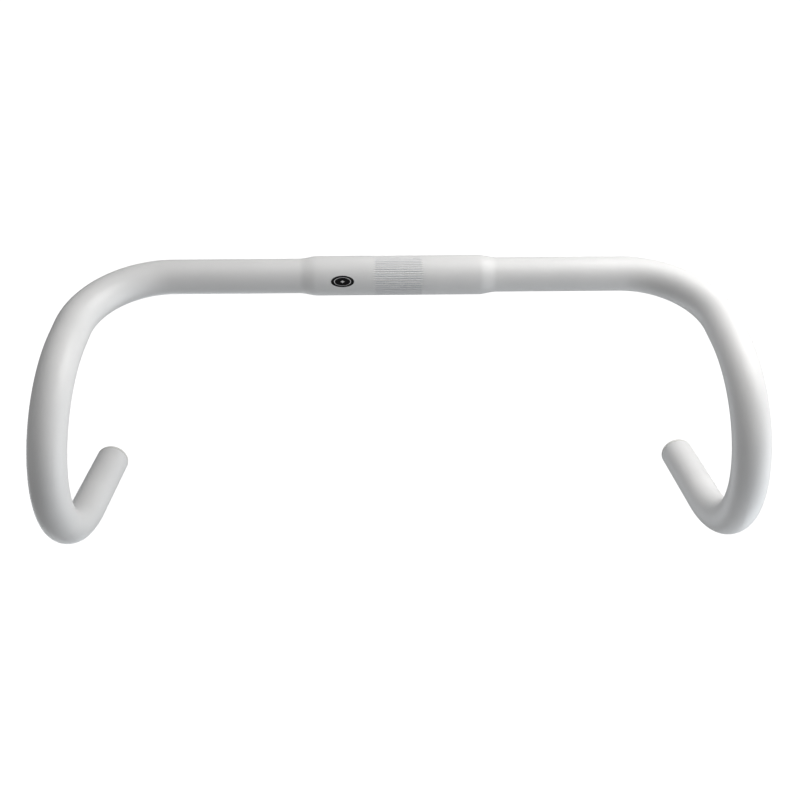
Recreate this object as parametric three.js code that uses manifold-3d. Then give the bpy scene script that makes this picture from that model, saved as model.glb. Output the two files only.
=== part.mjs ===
// A drop handlebar for a track or single-speed bicycle: one bent aluminium tube with a bulged, knurled
// clamp zone and a printed mark, and an expanding plug in each open end.
//
// Millimetres. +X is the rider's left, so it is on the right when the bar is seen from the front.
// -Y is forward and +Z is up. The origin is the centre of the stem clamp, on the tube's axis.
import * as THREE from "three";
import { mergeVertices } from "three/addons/utils/BufferGeometryUtils.js";
import Module from "manifold-3d";

// ---- The tube's section ----
const GRIP_RADIUS = 11.1; // the 22.2 mm grip size
const CLAMP_RADIUS = 12.7; // the 25.4 mm stem clamp size
const GRIP_WALL = 2;
const CLAMP_WALL = 2.4; // the tube is butted, thicker under the stem
const CLAMP_HALF = 51.5; // half the length of the full-size clamp zone
const SHOULDER = 12; // length of each shoulder, from clamp size down to grip size

// ---- The tube's route, from the centre out to one end ----
const TOP_HALF = 143.5; // straight top, from the centre to the first bend
const TOP_BEND_RADIUS = 54;
const RAMP_SLOPE = rad(15.5); // the ramp falls this much as it goes forward
const RAMP_SPLAY = rad(3.4); // and leans this much outward
const RAMP_LENGTH = 12.5;
const HOOK_RADIUS = 66;
const HOOK_TURN = rad(164.5); // brings the drop's end back level with the ground
const HOOK_TILT = rad(3); // the hook's foot stands this much further out than its top
const DROP_LENGTH = 57.6; // straight grip at the end of the drop

// ---- Knurl and printed mark ----
const KNURL_GROOVES = 52;
const KNURL_LENGTH = 33;
const KNURL_DEPTH = 0.35;
const MARK_CENTRE_X = -35.4;
const MARK_HALF_WIDTH = 7.3;
const MARK_HALF_HEIGHT = 3.8;
const MARK_RISE = rad(4); // above straight ahead
const MARK_THICKNESS = 0.15;
const MARK_GAP = 0.06; // clear of the tube's facets

// ---- End plug, with z measured out of the tube from its end face ----
const FIT_GAP = 0.3; // between pieces that touch
const PLUG = {
  flangeFace: 2.4, // outer face of the flange, which is as wide as the tube
  flangeEdge: 0.8, // rounding of the flange's outer edge
  spigotRadius: 8.6, // the part of the cap inside the bore
  spigotEnd: -5,
  pocketRadius: 4.7, // holds the screw's head
  pocketFloor: -2,
  holeRadius: 2.8, // lets the screw through
  sleeveRadius: 8.6,
  sleeveStart: -5.3,
  sleeveEnd: -20,
  sleeveHole: 3.4,
  sleeveConeStart: -11,
  sleeveMouth: 6.9, // radius of the cone-shaped mouth at the sleeve's inner end
  slitWidth: 1.6,
  slitTop: -8.5,
  slits: 4,
  coneSmall: 3.9,
  coneLarge: 7.4,
  coneStart: -14,
  coneShoulder: -22.5,
  coneEnd: -25,
  coneHole: 2.7,
  keyWidth: 0.9, // the cone's two keys slide in the sleeve's slits and stop it turning
  keyRadius: 8.3,
  keyStart: -15, // a key stays 1 mm inside its slit when the cone is slackened all the way
  headRadius: 4.2,
  headFace: 1.8,
  headSeat: -1.7,
  socketAcross: 4, // hexagonal socket, across its flats
  socketDepth: 2.4,
  shankRadius: 2.4,
  tip: -30,
};

// ---- Fineness of the faceted surface ----
const TUBE_SIDES = KNURL_GROOVES / 2; // two grooves to each side
const OUTER_STEP = rad(7.5); // turn of a bend between two rings, outside
const BORE_STEP = rad(12); // and inside
const PLUG_SIDES = 32;

const COLOURS = {
  whiteCoat: { color: 0xe9eaea, roughness: 0.42, metalness: 0 },
  blackInk: { color: 0x0b0b0c, roughness: 0.5, metalness: 0 },
  whiteNylon: { color: 0xe4e4e1, roughness: 0.5, metalness: 0 },
  greyRubber: { color: 0x2b2c2e, roughness: 0.8, metalness: 0 },
  alloy: { color: 0xb9bcc0, roughness: 0.35, metalness: 1 },
  steel: { color: 0x6f7276, roughness: 0.3, metalness: 1 },
};

function rad(degrees) {
  return (degrees * Math.PI) / 180;
}

const ACROSS = new THREE.Vector3(1, 0, 0);

const wasm = await Module();
wasm.setup();

// ---- Solids ----

// A closed geometry as a manifold-3d solid.
function solid(geometry) {
  const bare = geometry.clone();
  bare.deleteAttribute("normal");
  bare.deleteAttribute("uv");
  const merged = mergeVertices(bare, 1e-4);
  return new wasm.Manifold(
    new wasm.Mesh({
      numProp: 3,
      vertProperties: merged.attributes.position.array,
      triVerts: new Uint32Array(merged.index.array),
    }),
  );
}

// A manifold-3d solid as a geometry with flat shading.
function geometryOf(manifold) {
  const mesh = manifold.getMesh();
  const geometry = new THREE.BufferGeometry();
  geometry.setAttribute("position", new THREE.BufferAttribute(mesh.vertProperties, 3));
  geometry.setIndex(new THREE.BufferAttribute(mesh.triVerts, 1));
  const flat = geometry.toNonIndexed();
  flat.computeVertexNormals();
  return flat;
}

// A solid of revolution about +Z from [radius, z] points that run anticlockwise round the section.
function turned(points, sides = PLUG_SIDES) {
  const profile = points.map(([radius, z]) => new THREE.Vector2(radius, z));
  if (profile[0].x > 0 || profile.at(-1).x > 0) profile.push(profile[0].clone());
  return new THREE.LatheGeometry(profile, sides).rotateX(Math.PI / 2);
}

function named(name, geometry, finish) {
  const mesh = new THREE.Mesh(geometry, new THREE.MeshStandardMaterial(COLOURS[finish]));
  mesh.name = name;
  return mesh;
}

// ---- The route of the tube's axis ----

// One half of the route as straights and bends. Each section starts at a distance along the tube, with a
// place and a turn that carries the section at the centre to there.
function makeRoute() {
  const ramp = new THREE.Vector3(
    Math.sin(RAMP_SPLAY),
    -Math.cos(RAMP_SPLAY) * Math.cos(RAMP_SLOPE),
    -Math.cos(RAMP_SPLAY) * Math.sin(RAMP_SLOPE),
  );
  const topAxis = new THREE.Vector3().crossVectors(ACROSS, ramp).normalize();
  const hookAxis = ACROSS.clone().addScaledVector(ramp, -ramp.x).normalize().applyAxisAngle(ramp, HOOK_TILT);
  const steps = [
    { length: TOP_HALF },
    { radius: TOP_BEND_RADIUS, axis: topAxis, angle: ACROSS.angleTo(ramp) },
    { length: RAMP_LENGTH },
    { radius: HOOK_RADIUS, axis: hookAxis, angle: HOOK_TURN },
    { length: DROP_LENGTH },
  ];
  const sections = [];
  const place = new THREE.Vector3();
  const turn = new THREE.Quaternion();
  let along = 0;
  for (const step of steps) {
    const section = { ...step, along, place: place.clone(), turn: turn.clone() };
    section.length ??= step.radius * step.angle;
    sections.push(section);
    const end = stationIn(section, section.length);
    place.copy(end.place);
    turn.copy(end.turn);
    along += section.length;
  }
  return sections;
}

// Place and turn at a distance into one section.
function stationIn(section, distance) {
  const direction = ACROSS.clone().applyQuaternion(section.turn);
  if (!section.axis) {
    return { place: section.place.clone().addScaledVector(direction, distance), turn: section.turn };
  }
  const bend = new THREE.Quaternion().setFromAxisAngle(section.axis, distance / section.radius);
  const toCentre = new THREE.Vector3().crossVectors(section.axis, direction).multiplyScalar(section.radius);
  const arm = toCentre.clone().negate().applyQuaternion(bend);
  return { place: section.place.clone().add(toCentre).add(arm), turn: bend.multiply(section.turn) };
}

const route = makeRoute();
const HALF_LENGTH = route.at(-1).along + DROP_LENGTH;

function station(along) {
  const section = route.findLast((s) => s.along <= along) ?? route[0];
  return stationIn(section, along - section.along);
}

// Bends a straight geometry that lies along X onto the route. Its left half is the right half's mirror image.
function bendOntoRoute(geometry) {
  const position = geometry.attributes.position;
  const point = new THREE.Vector3();
  for (let i = 0; i < position.count; i++) {
    point.fromBufferAttribute(position, i);
    const side = point.x < 0 ? -1 : 1;
    const { place, turn } = station(Math.min(Math.abs(point.x), HALF_LENGTH));
    point.setX(0).applyQuaternion(turn).add(place);
    position.setXYZ(i, side * point.x, point.y, point.z);
  }
  return geometry;
}

// Distances along one half at which the tube's profile has a ring.
function ringsAt(turnStep) {
  const rings = [];
  for (const { along, length, radius, axis } of route) {
    const count = axis ? Math.ceil(length / radius / turnStep) : 1;
    for (let i = 1; i <= count; i++) rings.push(along + (length * i) / count);
  }
  return rings;
}

// ---- The pieces ----

// The tube as it is before it is bent: a closed profile, out along the outside and back along the bore.
function tubeProfile() {
  const shoulderSteps = [0, 0.25, 0.5, 0.75, 1];
  const smooth = (t) => t * t * (3 - 2 * t);
  const shoulder = (from, to) =>
    shoulderSteps.map((t) => [CLAMP_HALF + SHOULDER * t, THREE.MathUtils.lerp(from, to, smooth(t))]);
  const outside = [
    ...shoulder(CLAMP_RADIUS, GRIP_RADIUS),
    ...ringsAt(OUTER_STEP).map((along) => [along, GRIP_RADIUS]),
  ];
  const bore = [
    ...shoulder(CLAMP_RADIUS - CLAMP_WALL, GRIP_RADIUS - GRIP_WALL),
    ...ringsAt(BORE_STEP).map((along) => [along, GRIP_RADIUS - GRIP_WALL]),
  ];
  const both = (half) => [...half.map(([x, r]) => [-x, r]).reverse(), ...half];
  return [...both(outside), ...both(bore).reverse()];
}

// V-grooves that the rolled knurl presses into the clamp zone.
function knurlGrooves() {
  const vee = new THREE.Shape([
    new THREE.Vector2(0, CLAMP_RADIUS - KNURL_DEPTH),
    new THREE.Vector2(KNURL_DEPTH, CLAMP_RADIUS + KNURL_DEPTH),
    new THREE.Vector2(-KNURL_DEPTH, CLAMP_RADIUS + KNURL_DEPTH),
  ]);
  const pitch = (2 * Math.PI) / KNURL_GROOVES;
  const grooves = [];
  for (let i = 0; i < KNURL_GROOVES; i++) {
    const groove = new THREE.ExtrudeGeometry(vee, { depth: KNURL_LENGTH, bevelEnabled: false })
      .translate(0, 0, -KNURL_LENGTH / 2)
      .rotateY(Math.PI / 2)
      .rotateX((i + 0.5) * pitch);
    grooves.push(solid(groove));
  }
  return wasm.Manifold.compose(grooves);
}

function bentTube() {
  const profile = tubeProfile().map(([along, radius]) => [radius, along]);
  const straight = turned(profile, TUBE_SIDES).rotateY(Math.PI / 2);
  const tube = solid(bendOntoRoute(straight)).subtract(knurlGrooves());
  return named("bent_tube", geometryOf(tube), "whiteCoat");
}

// A plain oval mark on the front of the clamp zone, which follows its curve.
function printedMark() {
  const inner = CLAMP_RADIUS + MARK_GAP;
  const outer = inner + MARK_THICKNESS;
  const half = MARK_HALF_WIDTH + 1;
  const ring = turned([[inner, half], [inner, -half], [outer, -half], [outer, half]], 80)
    .rotateY(Math.PI / 2)
    .translate(MARK_CENTRE_X, 0, 0);
  const oval = new THREE.Shape().absellipse(0, 0, MARK_HALF_WIDTH, MARK_HALF_HEIGHT, 0, 2 * Math.PI);
  const cutter = new THREE.ExtrudeGeometry(oval, {
    depth: 2 * CLAMP_RADIUS,
    bevelEnabled: false,
    curveSegments: 24,
  })
    .rotateX(Math.PI / 2)
    .translate(MARK_CENTRE_X, 0, 0)
    .rotateX(-MARK_RISE);
  return named("printed_mark", geometryOf(solid(ring).intersect(solid(cutter))), "blackInk");
}

// Flanged cap: closes the end and holds the screw's head.
function plugCap(name) {
  const p = PLUG;
  const bevel = 0.3 * p.flangeEdge;
  return named(name, turned([
    [p.pocketRadius, p.flangeFace],
    [p.pocketRadius, p.pocketFloor],
    [p.holeRadius, p.pocketFloor],
    [p.holeRadius, p.spigotEnd],
    [p.spigotRadius, p.spigotEnd],
    [p.spigotRadius, FIT_GAP],
    [GRIP_RADIUS, FIT_GAP],
    [GRIP_RADIUS, p.flangeFace - p.flangeEdge],
    [GRIP_RADIUS - bevel, p.flangeFace - bevel],
    [GRIP_RADIUS - p.flangeEdge, p.flangeFace],
  ]), "whiteNylon");
}

// Split rubber sleeve: the cone spreads its fingers against the bore.
function plugSleeve(name) {
  const p = PLUG;
  const ring = solid(turned([
    [p.sleeveHole, p.sleeveStart],
    [p.sleeveHole, p.sleeveConeStart],
    [p.sleeveMouth, p.sleeveEnd],
    [p.sleeveRadius, p.sleeveEnd],
    [p.sleeveRadius, p.sleeveStart],
  ]));
  const depth = p.slitTop - p.sleeveEnd + 1;
  const slit = (turn) => solid(
    new THREE.BoxGeometry(2 * p.sleeveRadius + 1, p.slitWidth, depth)
      .translate(0, 0, p.slitTop - depth / 2)
      .rotateZ(turn),
  );
  let sleeve = ring;
  for (let i = 0; i < p.slits / 2; i++) sleeve = sleeve.subtract(slit((i * 2 * Math.PI) / p.slits));
  return named(name, geometryOf(sleeve), "greyRubber");
}

// Threaded cone with two keys that slide in the sleeve's slits.
function plugCone(name) {
  const p = PLUG;
  const body = solid(turned([
    [p.coneSmall, p.coneStart],
    [p.coneHole, p.coneStart],
    [p.coneHole, p.coneEnd],
    [p.coneLarge, p.coneEnd],
    [p.coneLarge, p.coneShoulder],
  ]));
  const keyLength = p.keyStart - p.coneEnd;
  const keys = solid(
    new THREE.BoxGeometry(2 * p.keyRadius, p.keyWidth, keyLength).translate(0, 0, p.keyStart - keyLength / 2),
  );
  const hole = solid(new THREE.CylinderGeometry(p.coneHole, p.coneHole, 40, PLUG_SIDES).rotateX(Math.PI / 2)
    .translate(0, 0, p.coneEnd));
  return named(name, geometryOf(body.add(keys).subtract(hole)), "alloy");
}

// Socket-head screw that draws the cone towards the cap.
function plugScrew(name) {
  const p = PLUG;
  const chamfer = 0.4;
  const body = solid(turned([
    [0, p.tip],
    [p.shankRadius - 2 * chamfer, p.tip],
    [p.shankRadius, p.tip + 2 * chamfer],
    [p.shankRadius, p.headSeat],
    [p.headRadius, p.headSeat],
    [p.headRadius, p.headFace - chamfer],
    [p.headRadius - chamfer, p.headFace],
    [0, p.headFace],
  ]));
  const corner = p.socketAcross / Math.sqrt(3);
  const socket = solid(new THREE.CylinderGeometry(corner, corner, 2 * p.socketDepth, 6).rotateX(Math.PI / 2)
    .translate(0, 0, p.headFace));
  return named(name, geometryOf(body.subtract(socket)), "steel");
}

// One end plug, in place. The side is +1 or -1.
function endPlug(side, word) {
  const { place, turn } = station(HALF_LENGTH);
  const outward = ACROSS.clone().applyQuaternion(turn);
  const plug = new THREE.Group();
  plug.position.set(side * place.x, place.y, place.z);
  outward.x *= side;
  plug.quaternion.setFromUnitVectors(new THREE.Vector3(0, 0, 1), outward);
  plug.add(
    plugCap(`${word}_plug_cap`),
    plugSleeve(`${word}_plug_sleeve`),
    plugCone(`${word}_plug_cone`),
    plugScrew(`${word}_plug_screw`),
  );
  return plug;
}

const handlebar = new THREE.Group();
handlebar.add(bentTube(), printedMark(), endPlug(1, "left"), endPlug(-1, "right"));

export default handlebar;
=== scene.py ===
"""The looks of the drop handlebar: the bent tube with its knurl and printed mark, and the two end plugs.

Metres, in the CAD's frame: +X is the rider's left, -Y is forward, +Z is up, and the origin is the centre of
the stem clamp. The tube follows its route. Each plug is modelled about Z and then set in place.
"""
import math

import bmesh
import bpy
from mathutils import Matrix, Quaternion, Vector


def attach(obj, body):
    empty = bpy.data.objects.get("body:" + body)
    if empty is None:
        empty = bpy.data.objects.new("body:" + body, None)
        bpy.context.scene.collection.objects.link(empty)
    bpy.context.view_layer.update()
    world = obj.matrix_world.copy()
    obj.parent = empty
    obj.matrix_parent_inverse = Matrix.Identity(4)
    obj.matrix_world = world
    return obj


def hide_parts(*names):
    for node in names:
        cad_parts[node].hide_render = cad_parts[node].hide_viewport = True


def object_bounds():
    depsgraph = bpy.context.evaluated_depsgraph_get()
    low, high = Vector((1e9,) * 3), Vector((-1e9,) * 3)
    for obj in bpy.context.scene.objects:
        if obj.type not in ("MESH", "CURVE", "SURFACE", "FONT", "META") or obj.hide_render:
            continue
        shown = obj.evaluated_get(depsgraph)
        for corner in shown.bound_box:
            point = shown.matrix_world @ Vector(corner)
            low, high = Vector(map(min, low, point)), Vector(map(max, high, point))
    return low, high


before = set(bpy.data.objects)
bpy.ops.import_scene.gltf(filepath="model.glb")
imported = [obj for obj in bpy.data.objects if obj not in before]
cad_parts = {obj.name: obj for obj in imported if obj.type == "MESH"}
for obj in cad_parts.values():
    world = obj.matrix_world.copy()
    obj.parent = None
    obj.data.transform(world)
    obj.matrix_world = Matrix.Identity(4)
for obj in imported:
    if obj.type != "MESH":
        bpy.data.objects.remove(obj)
cad_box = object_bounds()

MM = 0.001
X, Y, Z = Vector((1, 0, 0)), Vector((0, 1, 0)), Vector((0, 0, 1))

# ---- The tube, with the same driving dimensions as the CAD ----
GRIP_RADIUS = 11.1 * MM
CLAMP_RADIUS = 12.7 * MM
GRIP_BORE = 9.1 * MM
CLAMP_BORE = 10.3 * MM
CLAMP_HALF = 51.5 * MM
SHOULDER = 12 * MM
TOP_HALF = 143.5 * MM
TOP_BEND_RADIUS = 54 * MM
RAMP_SLOPE = math.radians(15.5)
RAMP_SPLAY = math.radians(3.4)
RAMP_LENGTH = 12.5 * MM
HOOK_RADIUS = 66 * MM
HOOK_TURN = math.radians(164.5)
HOOK_TILT = math.radians(3)
DROP_LENGTH = 57.6 * MM
END_CHAMFER = 0.35 * MM

# ---- Knurl: grooves rolled along the clamp zone ----
GROOVES = 52
GROOVE_SAMPLES = 8
GROOVE_DEPTH = 0.35 * MM
GROOVE_SHARPNESS = 2.2
# Painted shade: the darker colour painted into the bottoms of the knurl's grooves, in place of the shade that
# falls there.
GROOVE_PAINTED_SHADE = (0.66, 0.68, 0.72)
KNURL_HALF = 16.5 * MM
KNURL_RUN_OUT = 2.5 * MM
KNURL_MARGIN = 3 * MM

# ---- Printed mark ----
MARK_X = -35.4 * MM
MARK_HALF_WIDTH = 7.3 * MM
MARK_HALF_HEIGHT = 3.8 * MM
MARK_RISE = math.radians(4)
MARK_LIFT = 0.03 * MM
MARK_THICKNESS = 0.05 * MM
MARK_RING_INSIDE = 0.74
MARK_OVAL_OUTSIDE = 0.67
MARK_DIAMOND_HALF_WIDTH = 1.5 * MM
MARK_DIAMOND_HALF_HEIGHT = 0.8 * MM

# ---- Fineness ----
SIDES = 104
BORE_SIDES = 52
BEND_STEP = math.radians(2.5)
STRAIGHT_STEP = 12 * MM
SHOULDER_STEPS = 12
RUN_OUT_STEPS = 4
MARK_SIDES = 96
PLUG_SIDES = 96


# ---- Route of the tube's axis ----

def make_route():
    """One half of the route as straights and bends, from the centre out."""
    ramp = Vector((
        math.sin(RAMP_SPLAY),
        -math.cos(RAMP_SPLAY) * math.cos(RAMP_SLOPE),
        -math.cos(RAMP_SPLAY) * math.sin(RAMP_SLOPE),
    ))
    hook_axis = (X - ramp * ramp.x).normalized()
    hook_axis.rotate(Quaternion(ramp, HOOK_TILT))
    # Each step's length, its axis of bending, and the bend's radius. A straight has no axis.
    steps = (
        (TOP_HALF, None, 0),
        (TOP_BEND_RADIUS * X.angle(ramp), X.cross(ramp).normalized(), TOP_BEND_RADIUS),
        (RAMP_LENGTH, None, 0),
        (HOOK_RADIUS * HOOK_TURN, hook_axis, HOOK_RADIUS),
        (DROP_LENGTH, None, 0),
    )
    sections, along = [], 0.0
    place, turn = Vector((0, 0, 0)), Quaternion()
    for length, axis, radius in steps:
        section = dict(along=along, length=length, axis=axis, radius=radius, place=place, turn=turn)
        sections.append(section)
        place, turn = station_in(section, length)
        along += length
    return sections


def station_in(section, distance):
    """Place and turn at a distance into one section."""
    place, turn, axis, radius = (section[key] for key in ("place", "turn", "axis", "radius"))
    direction = turn @ X
    if axis is None:
        return place + direction * distance, turn
    bend = Quaternion(axis, distance / radius)
    to_centre = axis.cross(direction) * radius
    return place + to_centre - bend @ to_centre, bend @ turn


ROUTE = make_route()
HALF_LENGTH = ROUTE[-1]["along"] + DROP_LENGTH


def on_route(along, around, radius):
    """Point on a tube of that radius round the route.

    A negative distance along gives the right half, which mirrors the left.
    """
    side = -1 if along < 0 else 1
    distance = min(abs(along), HALF_LENGTH)
    section = [s for s in ROUTE if s["along"] <= distance][-1]
    place, turn = station_in(section, distance - section["along"])
    point = place + turn @ (Vector((0, math.cos(around), math.sin(around))) * radius)
    return Vector((side * point.x, point.y, point.z))


# ---- Mesh helpers ----

def piece(name, vertices, faces, material, body, replaced=None, smooth_under=40):
    """A piece of the object from its vertices and faces, riding on a CAD body."""
    mesh = bpy.data.meshes.new(name)
    mesh.from_pydata([tuple(v) for v in vertices], [], faces)
    built = bmesh.new()
    built.from_mesh(mesh)
    bmesh.ops.recalc_face_normals(built, faces=built.faces)
    built.to_mesh(mesh)
    built.free()
    mesh.validate()
    mesh.polygons.foreach_set("use_smooth", [True] * len(mesh.polygons))
    mesh.set_sharp_from_angle(angle=math.radians(smooth_under))
    mesh.materials.append(material)
    obj = bpy.data.objects.new(name, mesh)
    bpy.context.scene.collection.objects.link(obj)
    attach(obj, body)
    if replaced:
        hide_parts(replaced)


def bridge(first, second):
    """Faces between two closed loops of vertex numbers.

    One loop may have a whole number of times as many vertices as the other.
    """
    if len(first) > len(second):
        return [tuple(reversed(face)) for face in bridge(second, first)]
    count = len(first)
    ratio = len(second) // count
    faces = []
    for i in range(count):
        far = [second[(i * ratio + k) % len(second)] for k in range(ratio + 1)]
        faces.append((first[i], *far, first[(i + 1) % count]))
    return faces


def smoothstep(t):
    """0 up to t = 0, 1 from t = 1, and a smooth step between them."""
    t = min(max(t, 0.0), 1.0)
    return t * t * (3 - 2 * t)


# ---- Tube ----

def tube_rings(step):
    """Distances along the left half at which the tube has a ring, from the end of the clamp zone out."""
    rings = [CLAMP_HALF]
    rings += [CLAMP_HALF + SHOULDER * i / SHOULDER_STEPS for i in range(1, SHOULDER_STEPS + 1)]
    for section in ROUTE:
        start = max(section["along"], rings[-1])
        length = section["along"] + section["length"] - start
        if section["axis"] is None:
            count = math.ceil(length / STRAIGHT_STEP)
        else:
            count = math.ceil(length / section["radius"] / step)
        rings += [start + length * i / count for i in range(1, count + 1)]
    return rings


def radius_at(along, clamp, grip):
    """Radius at a distance along: the clamp's, the grip's, or the shoulder's between them."""
    return clamp + (grip - clamp) * smoothstep((abs(along) - CLAMP_HALF) / SHOULDER)


def groove_share(around):
    """Share of the full depth: a rounded V at each groove, with flat paint between them."""
    phase = (around * GROOVES / (2 * math.pi)) % 1
    return max(0.0, math.cos(2 * math.pi * (phase - 0.5))) ** GROOVE_SHARPNESS


def make_tube(material):
    """The whole tube as one closed skin, from the right end out to the left end and back through the bore."""
    vertices, faces, loops = [], [], []

    def loop(along, sides, radius_of):
        start = len(vertices)
        for i in range(sides):
            around = 2 * math.pi * i / sides
            vertices.append(on_route(along, around, radius_of(around)))
        loops.append(range(start, len(vertices)))

    outer = tube_rings(BEND_STEP)
    outer[-1] = HALF_LENGTH - END_CHAMFER
    run_out = [KNURL_HALF + KNURL_RUN_OUT * (i / RUN_OUT_STEPS - 1) for i in range(RUN_OUT_STEPS + 1)]
    knurl = [-x for x in reversed(run_out)] + [0.0] + run_out

    def plain(along):
        return lambda around: radius_at(along, CLAMP_RADIUS, GRIP_RADIUS)

    def grooved(depth):
        return lambda around: CLAMP_RADIUS - depth * groove_share(around)

    for along in [-x for x in reversed(outer)] + [-KNURL_HALF - KNURL_MARGIN]:
        loop(along, SIDES, plain(along))
    for along in knurl:
        fade = smoothstep((KNURL_HALF - abs(along)) / KNURL_RUN_OUT)
        loop(along, GROOVES * GROOVE_SAMPLES, grooved(GROOVE_DEPTH * fade))
    for along in [KNURL_HALF + KNURL_MARGIN] + outer:
        loop(along, SIDES, plain(along))
    loop(HALF_LENGTH, SIDES, lambda around: GRIP_RADIUS - END_CHAMFER)
    bore = tube_rings(2 * BEND_STEP)
    bore[-1] = HALF_LENGTH - END_CHAMFER
    loop(HALF_LENGTH, BORE_SIDES, lambda around: GRIP_BORE + END_CHAMFER)
    for along in list(reversed(bore)) + [-x for x in bore]:
        loop(along, BORE_SIDES, lambda around: radius_at(along, CLAMP_BORE, GRIP_BORE))
    loop(-HALF_LENGTH, BORE_SIDES, lambda around: GRIP_BORE + END_CHAMFER)
    loop(-HALF_LENGTH, SIDES, lambda around: GRIP_RADIUS - END_CHAMFER)
    for first, second in zip(loops, loops[1:] + loops[:1]):
        faces += bridge(first, second)
    piece("tube", vertices, faces, material, "handlebar", "bent_tube", smooth_under=30)


# ---- Solids of revolution for the plugs ----

def revolve(profile, sides):
    """Vertices and faces of a solid turned about Z from (radius, z) points.

    A radius is a number or a function of the angle. A zero radius closes that end with a pole, and a profile
    with neither end on the axis closes on itself. A point may have its own number of sides as a third value.
    """
    vertices, loops = [], []
    for radius, z, *own in profile:
        start = len(vertices)
        if radius == 0:
            vertices.append(Vector((0, 0, z)))
        else:
            count = own[0] if own else sides
            for i in range(count):
                around = 2 * math.pi * i / count
                r = radius(around) if callable(radius) else radius
                vertices.append(Vector((r * math.cos(around), r * math.sin(around), z)))
        loops.append(range(start, len(vertices)))
    faces = []
    closed = len(loops[0]) > 1 and len(loops[-1]) > 1
    for first, second in zip(loops, loops[1:] + (loops[:1] if closed else [])):
        if len(first) == 1:
            faces += [(first[0], second[i], second[(i + 1) % len(second)]) for i in range(len(second))]
        elif len(second) == 1:
            faces += [(second[0], first[(i + 1) % len(first)], first[i]) for i in range(len(first))]
        else:
            faces += bridge(first, second)
    return vertices, faces


def rounded(centre_radius, centre_z, radius, start, stop, steps=6):
    """Profile points on a rounded edge, between two angles in degrees from the radial direction."""
    points = []
    for i in range(steps + 1):
        turn = math.radians(start + (stop - start) * i / steps)
        points.append((centre_radius + radius * math.cos(turn), centre_z + radius * math.sin(turn)))
    return points


# ---- End plugs. Each piece is made about Z, in millimetres out of the tube's end face ----

CAP = dict(
    face=2.4,
    under=0.04,
    edge=0.9,
    hole=2.8,
    spigot=8.85,
    spigot_end=-5.0,
    lead_in=0.6,
    ribs=(-3.9, -2.7, -1.5),
    rib_rise=0.15,
    rib_foot=0.3,
    rib_crest=0.1,
)
# The recess in the cap's face that takes the screw's head.
POCKET = dict(radius=4.7, floor=-2.0, corner=0.2, chamfer=0.3)
# The shallow ring pressed into the cap's face.
FACE_RING = dict(outer=8.6, inner=7.7, slope=0.2, depth=0.2)
SLEEVE = dict(
    top=-5.15,
    top_edge=0.4,
    top_bevel=0.25,
    ring_middle=-7.0,
    slit_top=-8.5,
    bottom=-20.0,
    bottom_edge=0.6,
    bottom_bevel=0.4,
    outer=8.95,
    hole=3.4,
    cone_top=-11.0,
    mouth=6.9,
    slit=1.6,
    fingers=4,
    grooves=(-10.2, -12.7, -15.2, -17.7),
    groove_half=0.55,
    groove_flank=0.3,
    groove_depth=0.45,
)
CONE = dict(top=-14.0, bottom=-25.0, small=3.9, large=7.4, shoulder=-22.5, hole=2.6)
KEY = dict(top=-15.0, bottom=-24.8, inside=3.8, reach=8.3, width=0.9, bevel=0.5)
SCREW = dict(
    head=4.2,
    face=1.8,
    seat=-1.85,
    socket_point=0.5,
    drill=1.5,
    serrations=36,
    serration_depth=0.14,
    socket=4.0,
    socket_depth=2.4,
    crest=2.5,
    root=2.05,
    pitch=0.8,
    thread_top=-3.0,
    tip=-30.0,
    point=0.35,
)


def plug_space(side):
    """Turns a plug's own space, in millimetres, into the object's, in metres."""
    place, turn = station_in(ROUTE[-1], DROP_LENGTH)
    outward = turn @ X
    place.x *= side
    outward.x *= side
    facing = Z.rotation_difference(outward).to_matrix().to_4x4()
    return Matrix.Translation(place) @ facing @ Matrix.Scale(MM, 4)


def set_in_place(vertices, space):
    return [space @ v for v in vertices]


def cap_shape():
    """The flanged cap: its screw pocket and hole, then the ribbed spigot, the flange and the face."""
    c, pocket, ring = CAP, POCKET, FACE_RING
    low, high = c["spigot"] - c["rib_rise"], c["spigot"] + c["rib_rise"]
    profile = [
        (pocket["radius"], c["face"] - pocket["chamfer"]),
        (pocket["radius"], pocket["floor"] + pocket["corner"]),
        (pocket["radius"] - pocket["corner"], pocket["floor"]),
        (c["hole"], pocket["floor"]),
        (c["hole"], c["spigot_end"]),
        (c["spigot"] - c["lead_in"], c["spigot_end"]),
        (low, c["spigot_end"] + c["lead_in"]),
    ]
    # The crush ribs round the spigot.
    foot, crest = c["rib_foot"], c["rib_crest"]
    for rib in c["ribs"]:
        profile += [(low, rib - foot), (high, rib - crest), (high, rib + crest), (low, rib + foot)]
    # The flange, with its lower edge softened and its upper one well rounded.
    flange = GRIP_RADIUS / MM
    profile += [
        (low, c["under"]),
        (flange - 0.25, c["under"]),
        (flange - 0.05, c["under"] + 0.08),
        (flange, c["under"] + 0.3),
    ]
    profile += rounded(flange - c["edge"], c["face"] - c["edge"], c["edge"], 0, 90)
    profile += [
        (ring["outer"], c["face"]),
        (ring["outer"] - ring["slope"], c["face"] - ring["depth"]),
        (ring["inner"] + ring["slope"], c["face"] - ring["depth"]),
        (ring["inner"], c["face"]),
        (pocket["radius"] + pocket["chamfer"], c["face"]),
    ]
    return revolve(profile, PLUG_SIDES)


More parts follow.
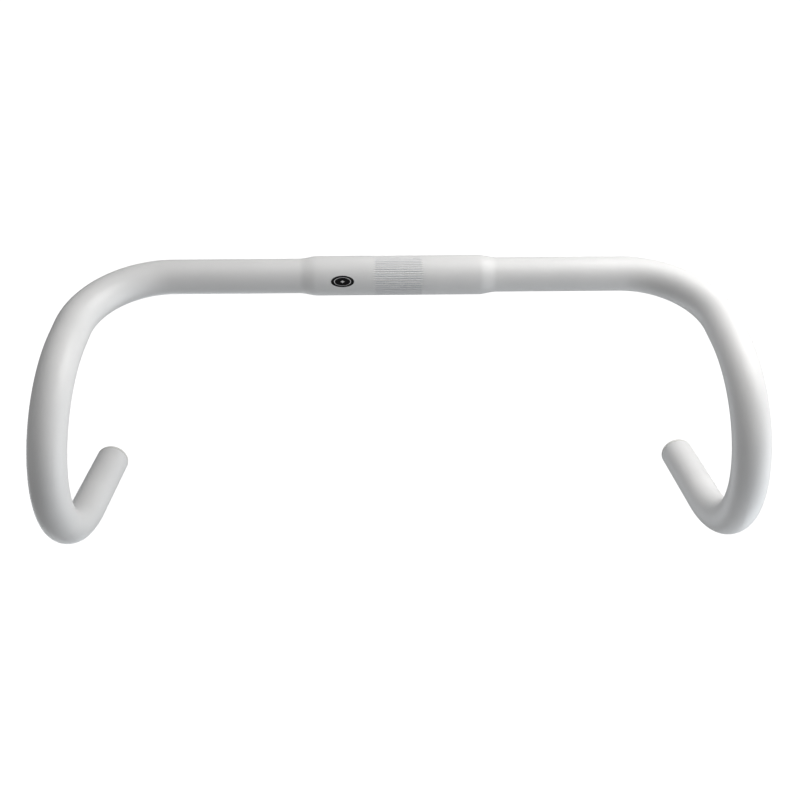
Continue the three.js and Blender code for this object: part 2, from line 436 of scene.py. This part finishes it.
def sleeve_shape():
    """A ring with four fingers below it. The slits between the fingers have parallel sides."""
    s = SLEEVE
    steps = 20
    finger_turn = 2 * math.pi / s["fingers"]

    def outer_radius(z):
        top_bevel = s["top_bevel"] * max(0, 1 - (s["top"] - z) / s["top_edge"])
        bottom_bevel = s["bottom_bevel"] * max(0, 1 - (z - s["bottom"]) / s["bottom_edge"])
        nearest = min(abs(z - groove) for groove in s["grooves"])
        dent = s["groove_depth"] * smoothstep(1 - nearest / s["groove_half"])
        return s["outer"] - top_bevel - bottom_bevel - dent

    def inner_radius(z):
        share = max(0, (s["cone_top"] - z) / (s["cone_top"] - s["bottom"]))
        return s["hole"] + (s["mouth"] - s["hole"]) * share

    half, flank = s["groove_half"], s["groove_flank"]
    levels = [s["top"], s["top"] - s["top_edge"], s["ring_middle"], s["slit_top"], s["cone_top"]]
    for groove in s["grooves"]:
        levels += [groove + offset for offset in (half, flank, 0, -flank, -half)]
    levels += [s["bottom"] + s["bottom_edge"], s["bottom"]]
    levels = sorted(set(levels), reverse=True)

    vertices = []

    def loop(radius, z):
        start = len(vertices)
        edge = math.asin(s["slit"] / 2 / radius)
        for finger in range(s["fingers"]):
            for i in range(steps + 1):
                around = finger_turn * finger + edge + (finger_turn - 2 * edge) * i / steps
                vertices.append(Vector((radius * math.cos(around), radius * math.sin(around), z)))
        return list(range(start, len(vertices)))

    outer = [loop(outer_radius(z), z) for z in levels]
    inner = [loop(inner_radius(z), z) for z in levels]
    count = len(outer[0])
    faces = bridge(inner[0], outer[0])
    for row, z in enumerate(levels[:-1]):
        slit = z <= s["slit_top"]
        for i in range(count):
            j = (i + 1) % count
            crosses_slit = i % (steps + 1) == steps
            if slit and crosses_slit:
                for k in (i, j):
                    faces.append((outer[row][k], outer[row + 1][k], inner[row + 1][k], inner[row][k]))
                continue
            faces.append((outer[row][i], outer[row + 1][i], outer[row + 1][j], outer[row][j]))
            faces.append((inner[row][i], inner[row][j], inner[row + 1][j], inner[row + 1][i]))
    top = levels.index(s["slit_top"])
    for i in range(count):
        j = (i + 1) % count
        row = top if i % (steps + 1) == steps else -1
        faces.append((outer[row][i], outer[row][j], inner[row][j], inner[row][i]))
    return vertices, faces


def cone_shape():
    """The turned cone, without its keys."""
    c = CONE
    return revolve([
        (c["hole"], c["top"] - 0.3),
        (c["hole"], c["bottom"] + 0.3),
        (c["hole"] + 0.3, c["bottom"]),
        (c["large"] - 0.4, c["bottom"]),
        (c["large"], c["bottom"] + 0.4),
        (c["large"], c["shoulder"]),
        (c["small"] + 0.15, c["top"] - 0.35),
        (c["small"] - 0.2, c["top"]),
        (c["hole"] + 0.3, c["top"]),
    ], PLUG_SIDES)


def key_shape():
    """Two wings on the cone, which slide in the sleeve's slits and stop it turning."""
    inside, reach, top, bottom, bevel = (KEY[name] for name in ("inside", "reach", "top", "bottom", "bevel"))
    half = KEY["width"] / 2
    outline = ((inside, top), (reach - bevel, top), (reach, top - bevel), (reach, bottom), (inside, bottom))
    count = len(outline)
    vertices, faces = [], []
    for side in (1, -1):
        start = len(vertices)
        for x, z in outline:
            vertices += [Vector((side * x, -half, z)), Vector((side * x, half, z))]
        near = [start + 2 * i for i in range(count)]
        far = [start + 2 * i + 1 for i in range(count)]
        faces += [tuple(near), tuple(reversed(far))]
        faces += [(near[i], far[i], far[(i + 1) % count], near[(i + 1) % count]) for i in range(count)]
    return vertices, faces


def screw_shape():
    """A socket-head screw: a serrated head with a hexagonal socket, and a right-hand thread."""
    s = SCREW
    head_sides, shank_sides, rings_to_a_turn = 144, 48, 12

    def hexagon(across):
        def radius(around):
            return across / 2 / math.cos((around % (math.pi / 3)) - math.pi / 6)
        return radius

    def serrated(depth):
        return lambda around: s["head"] - depth * (0.5 - 0.5 * math.cos(around * s["serrations"]))

    def thread(z):
        ease = smoothstep((z - s["tip"]) / s["pitch"]) * smoothstep((s["thread_top"] - z) / 0.6)
        narrowing = s["point"] * (1 - smoothstep((z - s["tip"]) / 0.5))

        def radius(around):
            phase = (z / s["pitch"] - around / (2 * math.pi)) % 1
            # A V with its bottom and its crest cut flat.
            groove = max(0.0, min(1.0, 1.3 - 2.6 * abs(phase - 0.5)))
            return s["crest"] - (s["crest"] - s["root"]) * groove * ease - narrowing
        return radius

    floor = s["face"] - s["socket_depth"]
    profile = [
        (0, floor - s["socket_point"], 1),
        (s["drill"], floor, head_sides),
        (hexagon(s["socket"]), floor, head_sides),
        (hexagon(s["socket"]), s["face"] - 0.25, head_sides),
        (hexagon(s["socket"] + 0.35), s["face"], head_sides),
        (s["head"] - 0.55, s["face"], head_sides),
        (serrated(0), s["face"] - 0.35, head_sides),
        (serrated(s["serration_depth"]), s["face"] - 0.6, head_sides),
        (serrated(s["serration_depth"]), s["seat"] + 0.35, head_sides),
        (serrated(0), s["seat"] + 0.15, head_sides),
        (s["head"] - 0.15, s["seat"], head_sides),
        (s["crest"] + 0.15, s["seat"], head_sides),
        (s["crest"] - 0.05, s["seat"] - 0.15, shank_sides),
    ]
    step = s["pitch"] / rings_to_a_turn
    rings = int((s["thread_top"] - s["tip"]) / step)
    levels = [s["thread_top"] - i * step for i in range(rings + 1)]
    profile += [(thread(z), z, shank_sides) for z in levels]
    profile += [(s["root"] - 0.4, s["tip"], shank_sides), (0, s["tip"], 1)]
    return revolve(profile, shank_sides)


# ---- Printed mark ----

def make_mark(material):
    """A plain oval badge in black ink: a broad ring, and an oval with a diamond left clear in its middle."""
    vertices, faces = [], []

    def flat(around, scale):
        return scale * MARK_HALF_WIDTH * math.cos(around), scale * MARK_HALF_HEIGHT * math.sin(around)

    def diamond(around):
        x, y = math.cos(around), math.sin(around)
        reach = 1 / (abs(x) / MARK_DIAMOND_HALF_WIDTH + abs(y) / MARK_DIAMOND_HALF_HEIGHT)
        return reach * x, reach * y

    def loop(shape, height):
        start = len(vertices)
        for i in range(MARK_SIDES):
            along, up = shape(2 * math.pi * i / MARK_SIDES)
            around = math.pi - MARK_RISE - up / CLAMP_RADIUS
            radius = CLAMP_RADIUS + MARK_LIFT + height
            vertices.append(Vector((MARK_X + along, radius * math.cos(around), radius * math.sin(around))))
        return range(start, len(vertices))

    def band(outside, inside):
        loops = [
            loop(outside, 0),
            loop(outside, MARK_THICKNESS),
            loop(inside, MARK_THICKNESS),
            loop(inside, 0),
        ]
        for first, second in zip(loops, loops[1:] + loops[:1]):
            faces.extend(bridge(first, second))

    band(lambda around: flat(around, 1.0), lambda around: flat(around, MARK_RING_INSIDE))
    band(lambda around: flat(around, MARK_OVAL_OUTSIDE), diamond)
    piece("mark", vertices, faces, material, "handlebar", "printed_mark")


def make_plug(side, word, finishes):
    """One end's cap, sleeve, cone with its keys, and screw. Side is 1 on the left and -1 on the right."""
    space = plug_space(side)
    for part, slot, body, shape in (
        ("cap", "white_nylon", "plug", cap_shape),
        ("sleeve", "dark_rubber", "plug", sleeve_shape),
        ("cone", "alloy", "cone", cone_shape),
        ("screw", "steel", "screw", screw_shape),
    ):
        vertices, faces = shape()
        piece(
            f"{word}_{part}", set_in_place(vertices, space), faces, finishes[slot], f"{word}_{body}",
            f"{word}_plug_{part}", smooth_under=35,
        )
    vertices, faces = key_shape()
    keys = set_in_place(vertices, space)
    piece(f"{word}_cone_keys", keys, faces, finishes["alloy"], f"{word}_cone")


# ---- Materials ----

def principled(name, **sockets):
    """A material with one Principled BSDF. Returns it with its node tree and shader."""
    material = bpy.data.materials.new(name)
    material.use_nodes = True
    tree = material.node_tree
    shader = tree.nodes["Principled BSDF"]
    for socket, value in sockets.items():
        shader.inputs[socket.replace("_", " ")].default_value = value
    return material, tree, shader


def noise(tree, scale, detail=3.0, roughness=0.5, stretch=(1, 1, 1)):
    """Noise in the object's own space. Scale is in features to the metre."""
    place = tree.nodes.new("ShaderNodeTexCoord")
    mapping = tree.nodes.new("ShaderNodeMapping")
    mapping.inputs["Scale"].default_value = stretch
    texture = tree.nodes.new("ShaderNodeTexNoise")
    texture.inputs["Scale"].default_value = scale
    texture.inputs["Detail"].default_value = detail
    texture.inputs["Roughness"].default_value = roughness
    tree.links.new(place.outputs["Object"], mapping.inputs["Vector"])
    tree.links.new(mapping.outputs["Vector"], texture.inputs["Vector"])
    return texture.outputs["Fac"]


def spread(tree, fac, low, high, socket, start=0.3, stop=0.7):
    """Drives a number socket between two values."""
    span = tree.nodes.new("ShaderNodeMapRange")
    span.inputs["From Min"].default_value = start
    span.inputs["From Max"].default_value = stop
    span.inputs["To Min"].default_value = low
    span.inputs["To Max"].default_value = high
    tree.links.new(fac, span.inputs["Value"])
    tree.links.new(span.outputs["Result"], socket)


def tinted(tree, fac, low, high, socket, start=0.3, stop=0.7):
    """Drives a colour socket between two colours."""
    ramp = tree.nodes.new("ShaderNodeValToRGB")
    ramp.color_ramp.elements[0].position = start
    ramp.color_ramp.elements[0].color = (*low, 1)
    ramp.color_ramp.elements[1].position = stop
    ramp.color_ramp.elements[1].color = (*high, 1)
    tree.links.new(fac, ramp.inputs["Fac"])
    tree.links.new(ramp.outputs["Color"], socket)


def bumped(tree, shader, layers):
    """Bump from (height, strength, distance) layers, one over the other."""
    below = None
    for height, strength, distance in layers:
        bump = tree.nodes.new("ShaderNodeBump")
        bump.inputs["Strength"].default_value = strength
        bump.inputs["Distance"].default_value = distance
        tree.links.new(height, bump.inputs["Height"])
        if below is not None:
            tree.links.new(below, bump.inputs["Normal"])
        below = bump.outputs["Normal"]
    tree.links.new(below, shader.inputs["Normal"])


def distance_from_middle(tree, directions):
    """How far a point lies from the object's origin, counting only the given directions."""
    place = tree.nodes.new("ShaderNodeTexCoord")
    flatten = tree.nodes.new("ShaderNodeVectorMath")
    flatten.operation = "MULTIPLY"
    flatten.inputs[1].default_value = directions
    length = tree.nodes.new("ShaderNodeVectorMath")
    length.operation = "LENGTH"
    tree.links.new(place.outputs["Object"], flatten.inputs[0])
    tree.links.new(flatten.outputs["Vector"], length.inputs[0])
    return length.outputs["Value"]


def groove_shade_mask(tree):
    """1 at the bottom of the knurl's grooves, 0 on the lands and on the rest of the tube's outside. It places
    the painted shade in the grooves.
    """
    deep = tree.nodes.new("ShaderNodeMath")
    deep.operation = "MULTIPLY"
    radius = distance_from_middle(tree, (0, 1, 1))
    along = distance_from_middle(tree, (1, 0, 0))
    bottom, just_below_land = CLAMP_RADIUS - GROOVE_DEPTH, CLAMP_RADIUS - 0.1 * GROOVE_DEPTH
    spread(tree, radius, 1, 0, deep.inputs[0], bottom, just_below_land)
    spread(tree, along, 1, 0, deep.inputs[1], KNURL_HALF - KNURL_RUN_OUT, KNURL_HALF)
    return deep.outputs["Value"]


def white_paint():
    """Satin white paint: faint clouding, the fine orange peel of a sprayed coat, and painted shade darkening
    the knurl's grooves.
    """
    material, tree, shader = principled("satin_white_paint")
    groove_shaded = tree.nodes.new("ShaderNodeMix")
    groove_shaded.data_type = "RGBA"
    colour_a, colour_b = [socket for socket in groove_shaded.inputs if socket.type == "RGBA"]
    colour_b.default_value = (*GROOVE_PAINTED_SHADE, 1)
    tinted(tree, noise(tree, 45, 4), (0.80, 0.803, 0.808), (0.83, 0.832, 0.835), colour_a)
    # Painted shade: the groove bottoms take the darker colour.
    tree.links.new(groove_shade_mask(tree), groove_shaded.inputs["Factor"])
    colour_result = [socket for socket in groove_shaded.outputs if socket.type == "RGBA"][0]
    tree.links.new(colour_result, shader.inputs["Base Color"])
    spread(tree, noise(tree, 160, 4), 0.36, 0.44, shader.inputs["Roughness"])
    bumped(tree, shader, [
        (noise(tree, 420, 2), 0.10, 0.05 * MM),
        (noise(tree, 2600, 2), 0.06, 0.02 * MM),
    ])
    return material


def black_ink():
    """Screen-printed ink: smoother than the paint, with weak reflections."""
    material, tree, shader = principled("black_ink", Specular_IOR_Level=0.2)
    clouds = noise(tree, 900, 3)
    tinted(tree, clouds, (0.003, 0.003, 0.004), (0.007, 0.007, 0.008), shader.inputs["Base Color"])
    spread(tree, noise(tree, 700, 3), 0.30, 0.42, shader.inputs["Roughness"])
    bumped(tree, shader, [(noise(tree, 1500, 3), 0.10, 0.02 * MM)])
    return material


def white_nylon():
    """Moulded nylon with a fine spark texture, a little warmer than the paint."""
    material, tree, shader = principled("white_nylon")
    tinted(tree, noise(tree, 300, 3), (0.74, 0.74, 0.72), (0.79, 0.79, 0.775), shader.inputs["Base Color"])
    spread(tree, noise(tree, 900, 3), 0.46, 0.60, shader.inputs["Roughness"])
    bumped(tree, shader, [(noise(tree, 4500, 4, 0.6), 0.25, 0.03 * MM)])
    return material


def dark_rubber():
    """Moulded rubber, matt and slightly mottled."""
    material, tree, shader = principled("dark_rubber")
    clouds = noise(tree, 500, 4)
    tinted(tree, clouds, (0.028, 0.029, 0.031), (0.048, 0.048, 0.050), shader.inputs["Base Color"])
    spread(tree, noise(tree, 1200, 4), 0.62, 0.82, shader.inputs["Roughness"])
    bumped(tree, shader, [(noise(tree, 3500, 5, 0.6), 0.35, 0.04 * MM)])
    return material


def turned_alloy():
    """Aluminium with the fine rings that a lathe leaves across the plug's axis, which lies close to Y."""
    material, tree, shader = principled("turned_alloy", Metallic=1.0)
    rings = noise(tree, 500, 4, 0.6, stretch=(0.05, 14, 0.05))
    tinted(tree, rings, (0.50, 0.51, 0.52), (0.62, 0.625, 0.63), shader.inputs["Base Color"])
    spread(tree, rings, 0.26, 0.40, shader.inputs["Roughness"])
    bumped(tree, shader, [(rings, 0.30, 0.02 * MM)])
    return material


def oiled_steel():
    """Plated steel, slightly blotched where the oil has dried."""
    material, tree, shader = principled("oiled_steel", Metallic=1.0)
    clouds = noise(tree, 600, 5, 0.6)
    tinted(tree, clouds, (0.30, 0.31, 0.33), (0.44, 0.445, 0.455), shader.inputs["Base Color"])
    spread(tree, noise(tree, 1400, 4), 0.24, 0.42, shader.inputs["Roughness"])
    bumped(tree, shader, [(noise(tree, 5000, 3), 0.12, 0.02 * MM)])
    return material


# ---- Camera and floor ----

# Place in millimetres, turns in degrees, lens in millimetres.
CAMERA_PLACE = Vector((-17, -608.5, 239)) * MM
CAMERA_YAW = -1.74
CAMERA_PITCH = -25.1
CAMERA_ROLL = -0.2
CAMERA_LENS = 45.5
CAMERA_SHIFT = -0.075


def make_camera():
    """A camera ahead of the bar and above it, looking down at it."""
    data = bpy.data.cameras.new("camera")
    data.sensor_width = 36
    data.lens = CAMERA_LENS
    data.shift_y = CAMERA_SHIFT
    data.clip_start = 0.01
    data.clip_end = 50
    camera = bpy.data.objects.new("camera", data)
    level = Quaternion(Z, math.radians(CAMERA_YAW)) @ Quaternion(X, math.radians(CAMERA_PITCH))
    ahead = level @ Y
    turn = Quaternion(ahead, math.radians(CAMERA_ROLL)) @ level
    # A camera looks along its own -Z with +Y up.
    facing = (turn @ Quaternion(X, math.pi / 2)).to_matrix().to_4x4()
    camera.matrix_world = Matrix.Translation(CAMERA_PLACE) @ facing
    bpy.context.scene.collection.objects.link(camera)
    bpy.context.scene.camera = camera


# The backdrop's profile from the floor's flat middle up to the dome: radius and height in metres.
STUDIO_PROFILE = ((5.0, -1.5), (6.0, -1.3), (6.8, -0.5), (7.0, 2.0), (6.0, 5.0), (3.0, 7.0))
STUDIO_TOP = 7.5
STUDIO_SIDES = 64
STUDIO_GLOW = 1.1


def make_studio():
    """A pale floor that curves up into a plain backdrop all round. Only the camera sees it."""
    sides, rows = STUDIO_SIDES, len(STUDIO_PROFILE)
    vertices, faces = [], []
    for radius, height in STUDIO_PROFILE:
        for i in range(sides):
            around = 2 * math.pi * i / sides
            vertices.append((radius * math.cos(around), radius * math.sin(around), height))
    floor_middle, dome_middle = len(vertices), len(vertices) + 1
    vertices.append((0, 0, STUDIO_PROFILE[0][1]))
    vertices.append((0, 0, STUDIO_TOP))
    top = (rows - 1) * sides
    for i in range(sides):
        j = (i + 1) % sides
        faces.append((floor_middle, j, i))
        faces.append((top + i, top + j, dome_middle))
        for row in range(rows - 1):
            below, above = row * sides, (row + 1) * sides
            faces.append((below + i, below + j, above + j, above + i))
    mesh = bpy.data.meshes.new("studio")
    mesh.from_pydata(vertices, [], faces)
    material = bpy.data.materials.new("studio_white")
    material.use_nodes = True
    tree = material.node_tree
    tree.nodes.clear()
    glow = tree.nodes.new("ShaderNodeEmission")
    glow.inputs["Color"].default_value = (1, 1, 1, 1)
    glow.inputs["Strength"].default_value = STUDIO_GLOW
    output = tree.nodes.new("ShaderNodeOutputMaterial")
    tree.links.new(glow.outputs["Emission"], output.inputs["Surface"])
    mesh.materials.append(material)
    studio = bpy.data.objects.new("studio", mesh)
    bpy.context.scene.collection.objects.link(studio)
    studio.visible_diffuse = False
    studio.visible_glossy = False
    studio.visible_transmission = False
    studio.visible_shadow = False


# ---- Light ----

AMBIENT = 0.25
WARM = (1, 0.99, 0.97)
COOL = (0.93, 0.97, 1)


def soft_light(name, azimuth, elevation, distance, width, power, colour):
    """A square soft light that faces the bar. Azimuth 0 is ahead of it, at -Y, and 90 is at +X."""
    lo, hi = cad_box
    turn, rise = math.radians(azimuth), math.radians(elevation)
    away = Vector((math.sin(turn) * math.cos(rise), -math.cos(turn) * math.cos(rise), math.sin(rise)))
    data = bpy.data.lights.new(name, "AREA")
    data.shape = "SQUARE"
    data.size = width
    data.energy = power
    data.color = colour
    light = bpy.data.objects.new(name, data)
    light.location = (lo + hi) / 2 + away * distance
    light.rotation_mode = "QUATERNION"
    light.rotation_quaternion = away.to_track_quat("Z", "Y")
    light.visible_camera = False
    bpy.context.scene.collection.objects.link(light)


def make_lights():
    """A warm key at +X, a cooler low light in front of it, light off the floor behind, and a weak fill."""
    soft_light("key", azimuth=90, elevation=50, distance=0.7, width=0.6, power=4.5, colour=WARM)
    soft_light("low_front", azimuth=70, elevation=-30, distance=0.6, width=0.6, power=2, colour=COOL)
    soft_light("floor_bounce", azimuth=225, elevation=-40, distance=1, width=0.8, power=2.5, colour=COOL)
    soft_light("fill", azimuth=290, elevation=70, distance=0.8, width=0.6, power=0.5, colour=WARM)
    world = bpy.data.worlds.new("ambient")
    world.use_nodes = True
    world.node_tree.nodes["Background"].inputs["Strength"].default_value = AMBIENT
    world.node_tree.nodes["Background"].inputs["Color"].default_value = (1, 1, 1, 1)
    bpy.context.scene.world = world


bpy.context.scene.view_settings.view_transform = "Standard"
make_camera()
make_studio()
make_lights()

make_tube(white_paint())
make_mark(black_ink())
finishes = {
    "white_nylon": white_nylon(),
    "dark_rubber": dark_rubber(),
    "alloy": turned_alloy(),
    "steel": oiled_steel(),
}
make_plug(1, "left", finishes)
make_plug(-1, "right", finishes)
